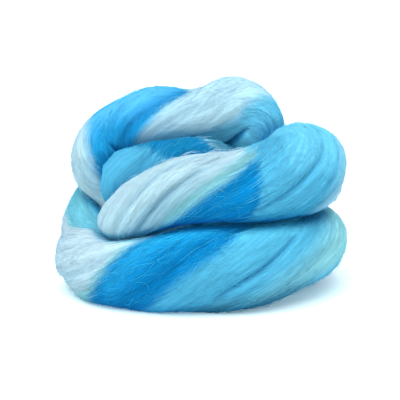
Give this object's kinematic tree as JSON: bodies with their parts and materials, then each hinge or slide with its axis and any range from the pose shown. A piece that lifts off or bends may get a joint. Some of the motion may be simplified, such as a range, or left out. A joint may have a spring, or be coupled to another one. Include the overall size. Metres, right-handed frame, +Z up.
{
  "type": "wool roving",
  "caption": "Thick, loosely twisted strand of dyed combed wool, wound by hand into a small nest that rests on its lower turn.",
  "frame": {"origin": "on the table under the middle of the nest's box", "axes": "+Z up, +X to the right along the nest's longest side, and -Y towards the front, where the lower and middle turns show"},
  "size_m": [0.1508, 0.1298, 0.1035],
  "materials": {
    "dyed_wool": "matt combed wool in bands of ice white, mint, sky blue and bright blue, with fine loose fibres"
  },
  "bodies": {
    "root": {"roving": "dyed_wool"}
  },
  "joints": []
}
